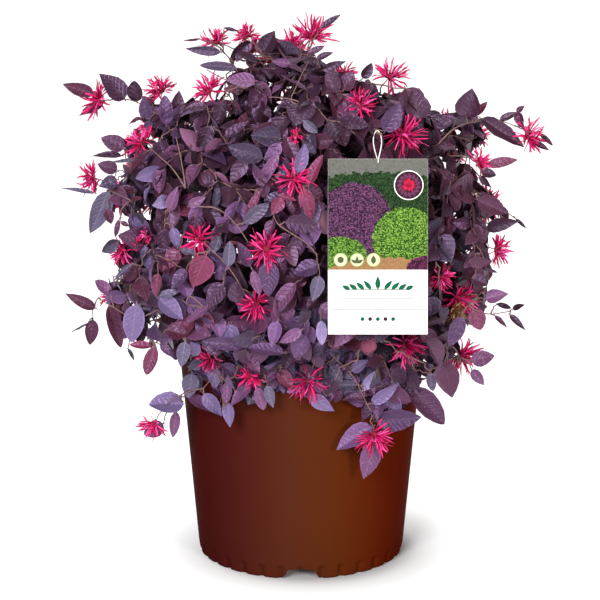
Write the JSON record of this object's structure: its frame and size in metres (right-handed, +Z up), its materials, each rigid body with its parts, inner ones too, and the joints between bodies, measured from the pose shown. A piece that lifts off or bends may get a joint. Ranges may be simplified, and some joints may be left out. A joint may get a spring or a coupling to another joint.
{
  "type": "chinese fringe flower shrub",
  "caption": "Potted evergreen shrub with dark oval leaves and strap-petalled pink blossom, in a round fluted nursery pot, with a hang tag on a loop.",
  "frame": {"origin": "centre of the pot's flat underside", "axes": "+Z up along the trunk, -Y out of the plant's front, where the hang tag is, +X to the right seen from the front"},
  "size_m": [0.4813, 0.4285, 0.541],
  "materials": {
    "pot_plastic": "semi-gloss moulded, brown",
    "potting_mix": "loose bark chips",
    "bark": "rough grey-brown bark",
    "foliage": "leathery purple leaves with pink blossom",
    "tag_card": "printed plastic card",
    "tag_loop": "white elastic"
  },
  "bodies": {
    "root": {"bough_high_back_left": "bark", "bough_high_back_right": "bark", "bough_high_front_left": "bark", "bough_high_front_right": "bark", "bough_low_back": "bark", "bough_low_back_right": "bark", "bough_low_front": "bark", "bough_low_front_left": "bark", "bough_low_left": "bark", "bough_low_right": "bark", "bough_mid_back": "bark", "bough_mid_back_left": "bark", "bough_mid_front": "bark", "bough_mid_front_right": "bark", "bough_mid_left": "bark", "bough_mid_right": "bark", "bough_top": "bark", "foliage_high_back_left": "foliage", "foliage_high_back_right": "foliage", "foliage_high_front_left": "foliage", "foliage_high_front_right": "foliage", "foliage_low_back": "foliage", "foliage_low_back_right": "foliage", "foliage_low_front": "foliage", "foliage_low_front_left": "foliage", "foliage_low_left": "foliage", "foliage_low_right": "foliage", "foliage_mid_back": "foliage", "foliage_mid_back_left": "foliage", "foliage_mid_front": "foliage", "foliage_mid_front_right": "foliage", "foliage_mid_left": "foliage", "foliage_mid_right": "foliage", "foliage_top": "foliage", "hang_tag": "tag_card", "pot": "pot_plastic", "potting_mix": "potting_mix", "tag_loop": "tag_loop", "trunk": "bark"}
  },
  "joints": []
}
